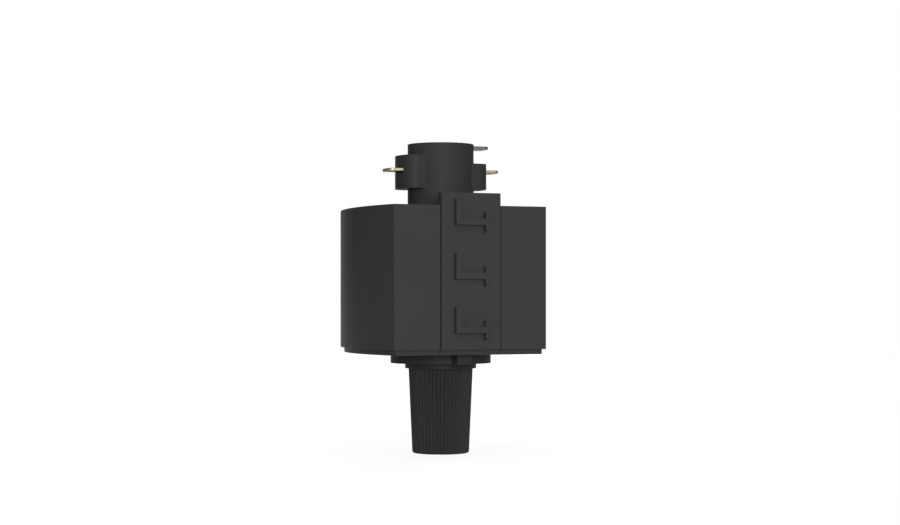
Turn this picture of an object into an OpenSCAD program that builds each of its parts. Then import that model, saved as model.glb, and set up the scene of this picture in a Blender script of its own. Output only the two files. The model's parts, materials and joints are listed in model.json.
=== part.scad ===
// Twist-lock track light adapter, in millimetres.
// The origin is on the tower's axis, at the housing's top face, which seats against the track.
// +Z points up into the track, -Y is the front with the locking slide, and +X is the live side.

/* [Housing] */
// Width of the flat front and back faces
flat_w = 35.8; // [34:0.1:44]
// Depth across the flat front and back faces
body_d = 37; // [36:0.1:44]
// How far each end wall bows out past the flat faces' width
end_bulge = 2.83; // [1.5:0.01:5]
// Height of the side walls
body_h = 31.6; // [29:0.1:42]
// Thickness of the side walls
wall = 2; // [1.6:0.1:2.4]
// Thickness of the top wall
top_wall = 2.4; // [2:0.1:3.4]

/* [Bottom cover] */
// How far the cover's edge steps in from the side walls
lip_inset = 0.86; // [0.5:0.01:1.3]
// Height of the stepped edge
lip_h = 1.15; // [0.8:0.05:2]
// How far the cover plugs into the side walls
plug_h = 2; // [1.4:0.1:3]
// Gap between the plug and the side walls
plug_gap = 0.1; // [0.05:0.01:0.2]
// Diameter of the four screw bosses
boss_d = 4.8; // [4.4:0.1:5.4]
// Distance from a boss's centre to the flat front or back face
boss_inset_y = 4.1; // [3.8:0.1:4.6]
// Distance from a boss's centre to the corner of the flat face
boss_inset_x = 3.9; // [3.5:0.1:4.4]
// Shank diameter of a cover screw
cover_screw_d = 2.2; // [1.8:0.1:2.6]
// Head diameter of a cover screw
cover_head_d = 4; // [3.4:0.1:4.4]
// Head height of a cover screw
cover_head_h = 1.3; // [0.8:0.1:1.6]
// How deep a cover screw reaches into its boss
cover_screw_grip = 8; // [5:0.5:12]

/* [Locking slide] */
// Width of the slide's front plate
slide_w = 14; // [12:0.1:15]
// Gap at each side of the front plate
slide_gap = 0.12; // [0.1:0.02:0.3]
// How far the slide stands above the housing, which is also its travel
slide_rise = 2.74; // [1.5:0.01:4]
// How far each guide shoe reaches past the front plate
shoe_w = 2.2; // [1.5:0.1:2.6]
// Thickness of the guide shoe
shoe_t = 1.2; // [0.8:0.1:1.6]
// Running gap in front of and behind the shoe
run_gap = 0.1; // [0.05:0.01:0.15]
// Thickness of the guide rails moulded inside the housing
rail_t = 1.3; // [0.9:0.1:1.6]
// How far a rail's lip laps behind the shoe
rail_lap = 1.6; // [0.8:0.1:1.8]

/* [Grip ribs] */
// Number of raised finger grips on the slide
grip_count = 3; // [1:1:3]
// Spacing of the grips
grip_pitch = 11.8; // [9:0.1:12]
// How far the grips stand out
grip_relief = 1.3; // [0.8:0.1:2.4]
// Height of a grip's upright
grip_upright_h = 5.65; // [5:0.05:7.5]
// Width of a grip's upright
grip_upright_w = 1.4; // [1:0.05:2]
// Thickness of a grip's ledge
grip_ledge_t = 1.35; // [1:0.05:2]
// Length of a grip's ledge, from the upright's outer side
grip_ledge_l = 7.4; // [5:0.1:9]
// Height of the fin at a grip's free end, where it meets the slide
grip_fin_h = 4.9; // [3:0.1:6]
// How far each end of that fin slopes in towards its front
grip_fin_slope = 0.7; // [0.2:0.1:1.2]
// Thickness of that fin
grip_fin_t = 0.5; // [0.4:0.05:1]
// Distance from the slide's left edge to the uprights
grip_inset = 3; // [2:0.1:4]
// Height of the first ledge's underside above or below the housing's top
grip_first_z = -4.35; // [-6:0.05:-4]

/* [Slide spring] */
// Outer diameter of the coil
spring_d = 4.4; // [3.6:0.1:5]
// Wire diameter
spring_wire = 0.5; // [0.4:0.05:0.6]
// Length of the spring as fitted
spring_l = 16; // [13:0.5:18]
// Working turns between the two closed ends
spring_turns = 7; // [5:1:9]
// Thickness of the shelf on the slide that the spring pushes
shelf_t = 1.4; // [1:0.1:2]

/* [Contact tower] */
// Diameter of the tower
tower_d = 15.04; // [14:0.02:16]
// Height of the tower above the housing
tower_h = 14.61; // [13.5:0.01:18]
// Gap between the tower and its hole in the top wall
tower_gap = 0.05; // [0.02:0.01:0.1]
// Radius of the lugs that turn under the track's lips
lug_r = 10.4; // [9.6:0.1:11.5]
// Width of the lugs
lug_w = 10.4; // [9:0.1:12]
// Corner radius of the lugs
lug_corner = 2.8; // [0.8:0.1:3.2]
// Height of the lugs' underside above the housing
lug_z = 4.4; // [3.6:0.1:5]
// Height of the tall lug on the neutral side
tall_lug_h = 7.5; // [6:0.1:8.4]
// Height of the short lug on the live side
short_lug_h = 5.8; // [5.6:0.1:8]
// Thickness of the wings that hold the tower under the top wall
wing_t = 2; // [1.4:0.1:3]

/* [Contacts] */
// Thickness of the contact strip
strip_t = 0.68; // [0.5:0.02:0.8]
// Width of a contact blade
blade_w = 5.4; // [4:0.1:6]
// Corner radius at a blade's tip
blade_corner = 1.1; // [0.4:0.1:1.8]
// Height of the two lower blades above the housing
blade_z = 8.6; // [7.4:0.1:9]
// Reach of the lower blades from the tower's axis
blade_reach = 13.4; // [12.6:0.1:15]
// Distance from the tower's top to the earth blade's middle
earth_drop = 0.62; // [0.6:0.02:2]
// Reach of the earth blade from the tower's axis
earth_reach = 10.9; // [9.6:0.1:12.5]
// Width of the strips' upright legs
leg_w = 4; // [3:0.1:4.6]
// Distance from the axis to the inner side of the live and neutral legs
leg_x = 5.4; // [5.2:0.1:5.8]
// Distance from the axis to the near side of the earth leg
earth_leg_x = 1.9; // [1.6:0.1:2.4]
// Gap round a strip in its slot
strip_gap = 0.04; // [0.02:0.01:0.08]
// Gap under a blade in its slot, where it can spring down
blade_slack = 0.3; // [0.1:0.05:0.5]

/* [Terminals] */
// Depth of the terminal block
block_d = 12; // [9:0.1:14]
// Height of the terminal block
block_h = 8; // [6:0.1:9]
// Length of the live and neutral feet under the block
foot_l = 5.7; // [5.2:0.1:6]
// Diameter of the terminal screws
term_screw_d = 2.5; // [2:0.1:3]
// Head diameter of the terminal screws
term_head_d = 4.4; // [4:0.1:4.6]
// Head height of the terminal screws
term_head_h = 1.7; // [1.2:0.1:2.2]
// Side of the square clamp plates
plate_w = 4.2; // [3.6:0.1:4.4]
// Thickness of the clamp plates
plate_t = 0.8; // [0.5:0.1:1.2]
// Thickness of the insulating ribs between the terminals
barrier_t = 1; // [0.8:0.1:1.4]
// Diameter of the block's two ears and of the posts that carry them
ear_d = 4.8; // [4.2:0.1:5.2]
// Thickness of the ears
ear_t = 2; // [1.5:0.1:3]
// Shank diameter of the block screws
block_screw_d = 2; // [1.6:0.1:2.4]
// Head diameter of the block screws
block_head_d = 3.8; // [3.2:0.1:4.2]
// Head height of the block screws
block_head_h = 1.4; // [1:0.1:2]

/* [Swivel] */
// Diameter of the swivel disc
disc_d = 22.84; // [21.5:0.02:23.4]
// Underside of the disc below the cover
disc_drop = 2.25; // [1.6:0.05:3]
// Width of the index tab
tab_w = 3.5; // [2.5:0.1:5]
// Reach of the index tab from the axis
tab_reach = 14.7; // [13.4:0.1:14.8]
// Width of the stop that ends the swivel's turn
stop_w = 3; // [2:0.1:4]
// Height of that stop
stop_h = 1.8; // [1:0.1:2]
// Gap between the disc's rim and the stop
stop_gap = 0.5; // [0.3:0.1:0.8]
// Outer diameter of the hollow stem
stem_d = 12; // [11.6:0.1:12.6]
// Bore of the hollow stem
stem_bore = 8.6; // [8.2:0.1:9]
// Running clearance of the stem in the cover, on the radius
stem_gap = 0.05; // [0.02:0.01:0.1]
// Outer diameter of the thrust washer
thrust_d = 18.6; // [15:0.1:20]
// Thickness of the thrust washer
thrust_t = 0.4; // [0.3:0.05:0.6]
// How far the thrust washer stands out of its recess
thrust_proud = 0.1; // [0.05:0.05:0.2]
// Outer diameter of the friction washer and the retaining ring
ring_d = 16; // [14.4:0.1:17]
// Thickness of the friction washer
friction_t = 0.4; // [0.3:0.05:0.6]
// Thickness of the retaining ring
ring_t = 0.8; // [0.6:0.05:1.2]
// Depth of the retaining ring's groove
groove_depth = 0.6; // [0.4:0.05:0.7]
// Angle that the retaining ring leaves open
ring_opening = 70; // [50:5:100]

/* [Cord gland] */
// Diameter of the gland's collar
collar_d = 16.22; // [15.8:0.02:18]
// Height of the gland's collar
collar_h = 1.2; // [1:0.1:2]
// Diameter of the cord hole through the gland body and the nut
cord_d = 6.8; // [6:0.1:7]
// Length of the threaded nipple inside the stem
nipple_l = 4; // [3:0.5:6]
// Clearance of the screwed joints, on the radius
thread_gap = 0.05; // [0.02:0.01:0.1]
// Diameter of the threaded spigot inside the nut
spigot_d = 10.6; // [10.4:0.1:11]
// Length of the threaded spigot
spigot_l = 7; // [5:0.5:8]
// Length of the nut
nut_l = 19.2; // [18:0.1:26]
// Diameter of the nut under the collar
nut_top_d = 14.6; // [14.2:0.1:15.6]
// Diameter of the nut at its free end
nut_end_d = 12.94; // [12.6:0.02:14]
// Number of ribs round the nut
nut_ribs = 48; // [24:2:60]
// Depth of the grooves between the ribs
nut_rib_depth = 0.42; // [0.2:0.02:0.5]
// Chamfer at the nut's free end
nut_chamfer = 0.4; // [0.2:0.05:0.8]
// Length of the plain cord hole at the nut's free end
nut_neck = 5.4; // [4.6:0.1:7]
// Gap round the claw inside the nut
claw_gap = 0.2; // [0.1:0.05:0.3]
// Number of fingers on the claw
claw_fingers = 8; // [6:1:10]
// Width of the slots between the fingers
claw_slot = 0.8; // [0.5:0.1:1.2]
// Wall thickness of the rubber seal
seal_t = 1; // [0.8:0.05:1.1]
// Section diameter of the sealing ring under the disc
o_ring_d = 0.8; // [0.6:0.05:0.9]

/* [Hidden] */
$fn = 64;
BLACK = "#2c2c2c";
BLACK_SOFT = "#232323";
BLOCK_GREY = "#8d8f8c";
BRASS = "#c8a860";
TINNED = "#a8a59f";
STEEL = "#b5b8bb";
NYLON = "#dcdcd4";
JOIN = 0.2;
SEAT_GAP = 0.05;

// Heights of the housing and its cover
z_rim = -body_h;
z_cover = z_rim - lip_h;
z_inside = z_rim + plug_h;
// Radius of the bowed end walls, from their chord and their rise
end_r = (body_d * body_d / 4 + end_bulge * end_bulge) / (2 * end_bulge);
end_x = flat_w / 2 + end_bulge - end_r;
y_front = -body_d / 2;
boss_x = flat_w / 2 - boss_inset_x;
boss_y = body_d / 2 - boss_inset_y;

// The slide's plate fills the wall's thickness, and its shoe runs behind the wall
shoe_y = y_front + wall + run_gap;
shoe_back = shoe_y + shoe_t;
rail_y = shoe_back + run_gap;
rail_back = rail_y + rail_t;
slot_half = slide_w / 2 + slide_gap;
shoe_half = slide_w / 2 + shoe_w;
rail_half = shoe_half + slide_gap;
shoe_top = -top_wall - SEAT_GAP;
shoe_low = z_inside + slide_rise + SEAT_GAP;

// The spring stands behind the rails, between the cover and the slide's shelf
spring_y = rail_back + spring_d / 2 + 0.3;
spring_top = z_inside + spring_l;
peg_d = spring_d - 2 * spring_wire - 0.5;
peg_h = 2;

// The tower hangs from its wings, and the terminal block clamps them to the top wall
tower_r = tower_d / 2;
z_block = -top_wall - wing_t;
z_term = z_block - block_h;
block_half = leg_x + foot_l + 0.6;
ear_x = block_half + ear_d / 2;
wing_r = ear_x - ear_d / 2 - 0.4;
earth_z = tower_h - earth_drop;

// Terminal screw places, each in the middle of its foot beside the leg
foot_mid = leg_x + (strip_t + foot_l) / 2;
earth_mid = plate_w / 2 + 0.3 - earth_leg_x;
earth_end = earth_mid + plate_w / 2 + 0.2;
term_places = [-foot_mid, earth_mid, foot_mid];
barrier_places = [(-leg_x - earth_leg_x - strip_t) / 2, (leg_x + earth_end) / 2];
barrier_h = strip_t + plate_t + term_head_h + 0.6;

// The swivel's disc runs on the thrust washer, and the ring holds its stem in the cover
stem_r = stem_d / 2;
z_disc_top = z_cover - thrust_proud;
z_disc = z_cover - disc_drop;
z_ring = z_inside + friction_t;
stem_top = z_ring + ring_t + 1.2;
stop_y = disc_d / 2 + stop_gap;

// The gland hangs from the disc
z_collar = z_disc - collar_h;
z_spigot = z_collar - spigot_l;
z_nut_top = z_collar - SEAT_GAP;
z_nut_end = z_nut_top - nut_l;
z_nut_neck = z_nut_end + nut_neck;
cord_r = cord_d / 2;
nut_bore_r = spigot_d / 2 + thread_gap;
cone_h = 5;
cone_drop_r = 0.6;
z_cone = z_nut_neck + cone_h;
claw_r = nut_bore_r - claw_gap;
seal_in_r = cord_r - 0.2;
seal_out_r = seal_in_r + seal_t;
z_claw = z_spigot - SEAT_GAP;
z_claw_end = z_nut_neck + 0.4;
o_ring_r = (stem_bore + collar_d) / 4 + 0.2;

// Shared shapes

// A straight block between two heights
module between(low, high) {
    translate([0, 0, low]) linear_extrude(high - low) children();
}

// A box from its two corners
module box(low, high) {
    translate(low) cube(high - low);
}

// A ring or tube between two heights
module tube(outer_r, inner_r, low, high) {
    difference() {
        between(low, high) circle(outer_r);
        between(low - 1, high + 1) circle(inner_r);
    }
}

// The housing's plan: flat front and back, bowed ends, drawn in by an inset
module plan(inset = 0) {
    intersection() {
        translate([end_x, 0]) circle(end_r - inset, $fn = 256);
        translate([-end_x, 0]) circle(end_r - inset, $fn = 256);
        square([2 * flat_w, body_d - 2 * inset], center = true);
    }
}

// The plan of a lug on the +X side: a bar with a round end and rounded corners
module lug_plan() {
    mid_y = lug_w / 2 - lug_corner;
    mid_x = sqrt(pow(lug_r - lug_corner, 2) - mid_y * mid_y);
    far = 2 * lug_r;
    translate([0, -lug_w / 2]) square([mid_x, lug_w]);
    for (side = [-1, 1]) translate([mid_x, side * mid_y]) circle(lug_corner);
    intersection() {
        circle(lug_r);
        polygon([[0, 0], far * [mid_x, -mid_y] / lug_r, far * [mid_x, mid_y] / lug_r]);
    }
}

// The plan of a contact blade from one end to its rounded tip
module blade_plan(start, reach, width) {
    translate([start, -width / 2]) square([reach - blade_corner - start, width]);
    translate([start, blade_corner - width / 2]) square([reach - start, width - 2 * blade_corner]);
    for (side = [-1, 1])
        translate([reach - blade_corner, side * (width / 2 - blade_corner)]) circle(blade_corner);
}

// Places of the four cover screws
module at_bosses() {
    for (x = [-boss_x, boss_x], y = [-boss_y, boss_y]) translate([x, y, 0]) children();
}

// Places of the block's two ears
module at_ears() {
    for (side = [-1, 1]) translate([side * ear_x, 0, 0]) children();
}

// Places of the three terminals
module at_terminals() {
    for (x = term_places) translate([x, 0, 0]) children();
}

// A screw with its head down: shank, head and a crossed drive recess
module screw(shank_d, head_d, head_h, seat, top) {
    slot_w = head_d / 6;
    slot_l = head_d * 0.6;
    difference() {
        union() {
            between(seat - JOIN, top) circle(shank_d / 2);
            between(seat - head_h, seat) circle(head_d / 2);
        }
        for (turn = [0, 90]) rotate(turn)
            between(seat - head_h - 1, seat - head_h / 2) square([slot_l, slot_w], center = true);
    }
}

// The space that one contact strip needs in the tower and the block
module strip_space(inner, blade_mid, width) {
    far = 2 * lug_r;
    low = -strip_gap;
    box([inner + low, -leg_w / 2 + low, z_term - 1],
        [inner + strip_t - low, leg_w / 2 - low, blade_mid]);
    box([inner + low, -width / 2 + low, blade_mid - strip_t / 2 - blade_slack],
        [far, width / 2 - low, blade_mid + strip_t / 2 - low]);
}

// The spaces of all three strips
module strip_spaces() {
    strip_space(leg_x, blade_z, blade_w);
    mirror([1, 0, 0]) strip_space(leg_x, blade_z, blade_w);
    strip_space(-earth_leg_x - strip_t, earth_z, blade_w);
}

// A bent contact strip: blade, upright leg and a foot with its screw hole
module contact_strip(inner, blade_mid, reach, foot_from, foot_to, hole_x) {
    foot_low = z_term - strip_t;
    difference() {
        union() {
            between(blade_mid - strip_t / 2, blade_mid + strip_t / 2)
                blade_plan(inner, reach, blade_w);
            box([inner, -leg_w / 2, foot_low], [inner + strip_t, leg_w / 2, blade_mid]);
            box([foot_from, -plate_w / 2, foot_low], [foot_to, plate_w / 2, z_term]);
        }
        translate([hole_x, 0, 0]) between(foot_low - 1, z_term + 1)
            circle(term_screw_d / 2 + thread_gap);
    }
}

// Housing and cover

// Guide rails that hold the slide's shoe against the front wall
module rails() {
    for (side = [0, 1]) mirror([side, 0, 0]) {
        box([rail_half, y_front + wall - JOIN, z_inside],
            [rail_half + rail_t, rail_back, JOIN - top_wall]);
        box([rail_half - rail_lap, rail_y, z_inside], [rail_half + JOIN, rail_back, JOIN - top_wall]);
    }
}

module housing() {
    color(BLACK) difference() {
        union() {
            difference() {
                between(z_rim, 0) plan();
                between(z_rim - 1, -top_wall) plan(wall);
            }
            rails();
            at_bosses() between(z_inside, JOIN - top_wall) circle(boss_d / 2);
            at_ears() between(z_block, JOIN - top_wall) circle(ear_d / 2);
        }
        box([-slot_half, y_front - 1, z_rim - 1], [slot_half, shoe_y + run_gap, 1]);
        between(-top_wall - 1, 1) circle(tower_r + tower_gap);
        at_bosses() between(z_inside - 1, z_inside + cover_screw_grip + 0.5)
            circle(cover_screw_d / 2 + thread_gap);
        at_ears() between(z_block - 1, -top_wall / 2) circle(block_screw_d / 2 + thread_gap);
    }
}

module bottom_cover() {
    color(BLACK) difference() {
        union() {
            between(z_cover, z_rim) plan(lip_inset);
            between(z_rim - JOIN, z_inside) plan(wall + plug_gap);
            translate([0, spring_y, 0]) between(z_inside - JOIN, z_inside + peg_h) circle(peg_d / 2);
            box([-stop_w / 2, stop_y, z_cover - stop_h], [stop_w / 2, tab_reach, z_cover + JOIN]);
        }
        box([-slot_half, y_front - 1, z_cover - 1], [slot_half, shoe_y + run_gap, z_inside + 1]);
        between(z_cover - 1, z_inside + 1) circle(stem_r + stem_gap);
        between(z_cover - 1, z_cover + thrust_t - thrust_proud) circle(thrust_d / 2 + plug_gap);
        at_bosses() {
            between(z_cover - 1, z_inside + 1) circle(cover_screw_d / 2 + plug_gap);
            between(z_cover - 1, z_cover + cover_head_h + plug_gap) circle(cover_head_d / 2 + plug_gap);
        }
    }
}

module cover_screws() {
    color(STEEL) at_bosses()
        screw(cover_screw_d, cover_head_d, cover_head_h,
              z_cover + cover_head_h + plug_gap, z_inside + cover_screw_grip);
}

// Locking slide and its spring

// One finger grip: an upright, a ledge to pull on and a thin fin at the ledge's free end
module grip(ledge_z) {
    left = grip_inset - slide_w / 2;
    right = left + grip_ledge_l;
    out = y_front - grip_relief;
    root = y_front + JOIN;
    half = grip_fin_h / 2;
    front_half = half - grip_fin_slope;
    box([left, out, ledge_z], [left + grip_upright_w, root, ledge_z + grip_upright_h]);
    box([left, out, ledge_z], [right, root, ledge_z + grip_ledge_t]);
    translate([right - grip_fin_t, 0, ledge_z + grip_ledge_t / 2]) rotate([90, 0, 90])
        linear_extrude(grip_fin_t)
            polygon([[root, -half], [out, -front_half], [out, front_half], [root, half]]);
}

module lock_slide() {
    color(BLACK) union() {
        box([-slide_w / 2, y_front, z_rim], [slide_w / 2, shoe_y, slide_rise]);
        box([-slide_w / 2, y_front + lip_inset, z_cover], [slide_w / 2, shoe_y, z_rim + JOIN]);
        box([-shoe_half, shoe_y, shoe_low], [shoe_half, shoe_back, shoe_top]);
        for (i = [0 : grip_count - 1]) grip(grip_first_z - i * grip_pitch);
        box([-spring_d / 2, shoe_back - JOIN, spring_top],
            [spring_d / 2, spring_y + spring_d / 2, spring_top + shelf_t]);
        translate([0, spring_y, 0]) between(spring_top - peg_h, spring_top + JOIN) circle(peg_d / 2);
    }
}

// A point on the wire's centre line, from 0 at the bottom to 1 at the top.
// The first and last turns are closed, and the rest share the remaining height.
spring_steps = 18;
spring_sides = 8;
end_pitch = spring_wire * 1.06;
spring_rise = spring_l - spring_wire - 2 * SEAT_GAP - 2 * end_pitch;
function spring_height(turn) =
    turn < 1 ? turn * end_pitch
    : turn > spring_turns + 1 ? end_pitch + spring_rise + (turn - spring_turns - 1) * end_pitch
    : end_pitch + (turn - 1) / spring_turns * spring_rise;
function spring_ring(turn) = [
    for (s = [0 : spring_sides - 1])
        let (around = 360 * s / spring_sides,
             radius = (spring_d - spring_wire + spring_wire * cos(around)) / 2)
        [radius * cos(360 * turn), radius * sin(360 * turn),
         spring_height(turn) + spring_wire / 2 * sin(around)]];

module slide_spring() {
    rings = (spring_turns + 2) * spring_steps;
    points = [for (i = [0 : rings]) each spring_ring(i / spring_steps)];
    sides = [
        for (i = [0 : rings - 1], s = [0 : spring_sides - 1])
            let (a = i * spring_sides + s, b = i * spring_sides + (s + 1) % spring_sides)
            [a, a + spring_sides, b + spring_sides, b]];
    first = [for (s = [0 : spring_sides - 1]) s];
    last = [for (s = [0 : spring_sides - 1]) rings * spring_sides + spring_sides - 1 - s];
    color(STEEL) translate([0, spring_y, z_inside + SEAT_GAP + spring_wire / 2])
        polyhedron(points, concat(sides, [first, last]));
}

// Contact tower

module contact_tower() {
    color(BLACK) difference() {
        union() {
            between(z_block, tower_h) circle(tower_r);
            between(z_block, -top_wall) intersection() {
                circle(wing_r);
                square([2 * wing_r, tower_d], center = true);
            }
            between(lug_z, lug_z + short_lug_h) lug_plan();
            between(lug_z, lug_z + tall_lug_h) mirror([1, 0]) lug_plan();
        }
        strip_spaces();
    }
}

module neutral_contact() {
    color(BRASS) mirror([1, 0, 0])
        contact_strip(leg_x, blade_z, blade_reach, leg_x, leg_x + foot_l, foot_mid);
}

module live_contact() {
    color(BRASS) contact_strip(leg_x, blade_z, blade_reach, leg_x, leg_x + foot_l, foot_mid);
}

module earth_contact() {
    leg = -earth_leg_x - strip_t;
    color(TINNED) contact_strip(leg, earth_z, earth_reach, leg, earth_end, earth_mid);
}

// Terminals

module terminal_block() {
    color(BLOCK_GREY) difference() {
        union() {
            box([-block_half, -block_d / 2, z_term], [block_half, block_d / 2, z_block]);
            for (x = barrier_places)
                box([x - barrier_t / 2, -block_d / 2, z_term - barrier_h],
                    [x + barrier_t / 2, block_d / 2, z_term + JOIN]);
            between(z_block - ear_t, z_block)
                square([2 * ear_x, ear_d], center = true);
            at_ears() between(z_block - ear_t, z_block) circle(ear_d / 2);
        }
        strip_spaces();
        at_terminals() between(z_term - 1, z_term + block_h / 2 + 1)
            circle(term_screw_d / 2 + plug_gap);
        at_ears() between(z_block - ear_t - 1, z_block + 1) circle(block_screw_d / 2 + plug_gap);
    }
}

module block_screws() {
    color(STEEL) at_ears()
        screw(block_screw_d, block_head_d, block_head_h, z_block - ear_t, -top_wall / 2 - 0.4);
}

module clamp_plates() {
    high = z_term - strip_t;
    color(STEEL) at_terminals() difference() {
        between(high - plate_t, high) square(plate_w, center = true);
        between(high - plate_t - 1, high + 1) circle(term_screw_d / 2 + plug_gap);
    }
}

module terminal_screws() {
    color(BRASS) at_terminals()
        screw(term_screw_d, term_head_d, term_head_h,
              z_term - strip_t - plate_t, z_term + block_h / 2);
}

// Swivel

module thrust_washer() {
    color(NYLON) tube(thrust_d / 2, stem_r + 0.2,
                      z_disc_top, z_cover + thrust_t - thrust_proud);
}

module friction_washer() {
    color(STEEL) tube(ring_d / 2, stem_r + 0.15, z_inside, z_ring);
}

module swivel_disc() {
    color(BLACK) difference() {
        union() {
            between(z_disc, z_disc_top) circle(disc_d / 2);
            box([-tab_w / 2, -tab_reach, z_disc], [tab_w / 2, 0, z_disc_top]);
            between(z_disc, stem_top) circle(stem_r);
        }
        tube(stem_r + 1, stem_r - groove_depth, z_ring, z_ring + ring_t);
        between(z_disc - 1, stem_top + 1) circle(stem_bore / 2);
    }
}

module retaining_ring() {
    inner = stem_r - groove_depth + SEAT_GAP;
    color(STEEL) rotate(90 + ring_opening / 2) rotate_extrude(angle = 360 - ring_opening)
        translate([inner, z_ring]) square([ring_d / 2 - inner, ring_t - SEAT_GAP]);
}

// Cord gland

module gland_body() {
    groove_half = o_ring_d / 2 + SEAT_GAP;
    color(BLACK) difference() {
        union() {
            between(z_collar, z_disc) circle(collar_d / 2);
            between(z_disc - JOIN, z_disc + nipple_l) circle(stem_bore / 2 - thread_gap);
            between(z_spigot, z_collar + JOIN) circle(spigot_d / 2);
        }
        between(z_spigot - 1, z_disc + nipple_l + 1) circle(cord_r);
        tube(o_ring_r + groove_half, o_ring_r - groove_half, z_disc - o_ring_d, z_disc + JOIN);
    }
}

module gland_o_ring() {
    color(BLACK_SOFT) translate([0, 0, z_disc - o_ring_d / 2])
        rotate_extrude() translate([o_ring_r, 0]) circle(o_ring_d / 2 - 0.02);
}

module gland_seal() {
    color(BLACK_SOFT) tube(seal_out_r, seal_in_r, z_claw_end, z_claw);
}

module grip_claw() {
    inner = seal_out_r + SEAT_GAP;
    slot_top = z_claw - 1.2;
    color(NYLON) difference() {
        rotate_extrude() polygon([
            [inner, z_claw], [claw_r, z_claw], [claw_r, z_cone],
            [claw_r - cone_drop_r, z_claw_end], [inner, z_claw_end]]);
        for (i = [0 : claw_fingers - 1]) rotate(360 * i / claw_fingers)
            box([inner - 1, -claw_slot / 2, z_claw_end - 1], [claw_r + 1, claw_slot / 2, slot_top]);
    }
}

// The nut's ribbed section at its free end
module nut_section() {
    pitch = 360 / nut_ribs;
    crest = nut_end_d / 2;
    root = crest - nut_rib_depth;
    polygon([
        for (i = [0 : nut_ribs - 1], p = [[-0.42, root], [-0.2, crest], [0.2, crest], [0.42, root]])
            let (turn = pitch * (i + p[0])) p[1] * [cos(turn), sin(turn)]]);
}

module gland_nut() {
    end_r1 = nut_end_d / 2 - nut_chamfer;
    wide = nut_top_d;
    color(BLACK) difference() {
        intersection() {
            translate([0, 0, z_nut_end]) linear_extrude(nut_l, scale = nut_top_d / nut_end_d) nut_section();
            rotate_extrude() polygon([
                [0, z_nut_end], [end_r1, z_nut_end],
                [end_r1 + wide, z_nut_end + wide], [wide, z_nut_top], [0, z_nut_top]]);
        }
        between(z_nut_end - 1, z_nut_top + 1) circle(cord_r);
        between(z_cone, z_nut_top + 1) circle(nut_bore_r);
        rotate_extrude() polygon([
            [0, z_nut_neck], [nut_bore_r - cone_drop_r, z_nut_neck],
            [nut_bore_r, z_cone], [nut_bore_r, z_cone + 1], [0, z_cone + 1]]);
    }
}

housing();
bottom_cover();
cover_screws();
lock_slide();
slide_spring();
contact_tower();
neutral_contact();
live_contact();
earth_contact();
terminal_block();
block_screws();
clamp_plates();
terminal_screws();
thrust_washer();
friction_washer();
swivel_disc();
retaining_ring();
gland_body();
gland_o_ring();
gland_seal();
grip_claw();
gland_nut();
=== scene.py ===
# %% [markdown]
# # A twist-lock adapter for a lighting track
# The real adapter hangs a lamp from a ceiling track. It is a black moulded box with a sprung slide in its
# front, a keyed tower with metal blades on top, and a swivelling cord gland below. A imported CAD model
# already fixes every size, place and joint, so this lesson never moves anything: it sets up a small photo
# studio, and then gives each solid its moulded edges, its turned or threaded detail and its real finish.

# %% Load the frame
import json
import math

import bmesh
import bpy
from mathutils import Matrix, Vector

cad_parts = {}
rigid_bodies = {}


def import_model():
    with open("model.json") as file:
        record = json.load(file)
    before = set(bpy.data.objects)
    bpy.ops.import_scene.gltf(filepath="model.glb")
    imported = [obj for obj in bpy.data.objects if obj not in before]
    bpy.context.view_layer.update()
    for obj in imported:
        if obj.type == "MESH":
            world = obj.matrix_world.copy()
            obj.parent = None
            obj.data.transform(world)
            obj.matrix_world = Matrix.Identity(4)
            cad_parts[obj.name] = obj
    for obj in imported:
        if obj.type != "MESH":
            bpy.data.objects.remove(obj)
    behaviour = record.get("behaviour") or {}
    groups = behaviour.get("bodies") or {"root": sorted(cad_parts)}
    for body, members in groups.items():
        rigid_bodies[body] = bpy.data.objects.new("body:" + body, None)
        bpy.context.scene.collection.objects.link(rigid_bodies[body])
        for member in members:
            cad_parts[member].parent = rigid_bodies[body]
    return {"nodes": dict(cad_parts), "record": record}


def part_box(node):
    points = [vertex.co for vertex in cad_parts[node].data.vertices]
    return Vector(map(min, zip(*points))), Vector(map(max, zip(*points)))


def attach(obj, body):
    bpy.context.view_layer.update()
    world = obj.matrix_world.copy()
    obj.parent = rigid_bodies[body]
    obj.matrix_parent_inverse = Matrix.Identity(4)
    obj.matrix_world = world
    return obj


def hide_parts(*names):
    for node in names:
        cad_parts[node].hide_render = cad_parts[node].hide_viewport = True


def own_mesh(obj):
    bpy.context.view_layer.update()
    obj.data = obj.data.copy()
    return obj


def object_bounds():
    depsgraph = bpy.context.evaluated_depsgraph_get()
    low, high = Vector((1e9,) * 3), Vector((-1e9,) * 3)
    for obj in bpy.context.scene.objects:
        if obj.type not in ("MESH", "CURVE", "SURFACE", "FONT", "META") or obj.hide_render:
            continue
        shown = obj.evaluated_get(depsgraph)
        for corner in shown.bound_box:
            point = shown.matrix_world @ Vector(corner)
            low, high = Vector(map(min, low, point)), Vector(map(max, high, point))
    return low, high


MM = 0.001

for start_up_object in list(bpy.data.objects):
    bpy.data.objects.remove(start_up_object)
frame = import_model()
cad_low, cad_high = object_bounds()
record = frame["record"]
slot_of = {row["node"]: row["material_slot"] for row in record["subparts"]}
body_of = {node: body for body, nodes in record["behaviour"]["bodies"].items() for node in nodes}
print("solids in the frame:", len(frame["nodes"]))
print("CAD size in mm:", [round(length / MM, 2) for length in cad_high - cad_low])

# %% [markdown]
# ## The camera
# The picture was taken level with the housing, from a little left of its front. A camera could be placed
# by eye, but straight edges give it exactly: the vertical edges stay upright, so the camera is level and
# the object is moved off the picture's middle by shifting the lens. The focal length and the lens axis
# are in pixels of the photograph, and the distances are real ones, measured from the tower's axis.

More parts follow.
